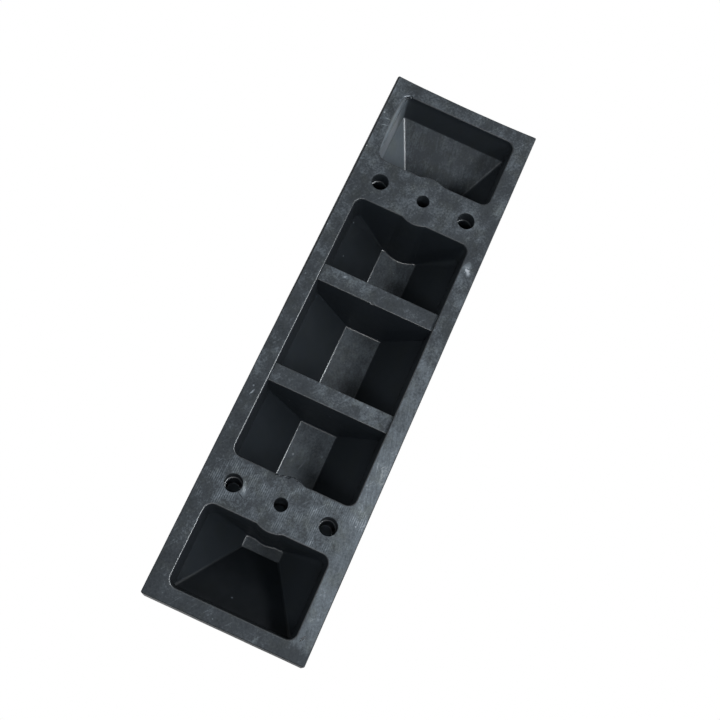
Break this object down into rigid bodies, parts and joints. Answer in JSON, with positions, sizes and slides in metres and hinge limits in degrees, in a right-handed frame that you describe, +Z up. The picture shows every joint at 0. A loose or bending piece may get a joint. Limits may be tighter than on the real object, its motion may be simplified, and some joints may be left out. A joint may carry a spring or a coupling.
{
  "type": "rubber wheel stop",
  "caption": "Long moulded rubber wheel stop: flat top, sloping sides and ends, upright skirt, hollow ribbed underside, and bolt holes through its cross bands.",
  "frame": {"origin": "middle of the base, in the plane that rests on the ground", "axes": "+X along the length, +Y across the width, +Z up from the ground through the flat top"},
  "size_m": [0.55, 0.15, 0.1],
  "materials": {
    "rubber": "matt black moulded rubber, dusty grey where it has met the ground"
  },
  "bodies": {
    "root": {"wheel_stop": "rubber"}
  },
  "joints": []
}
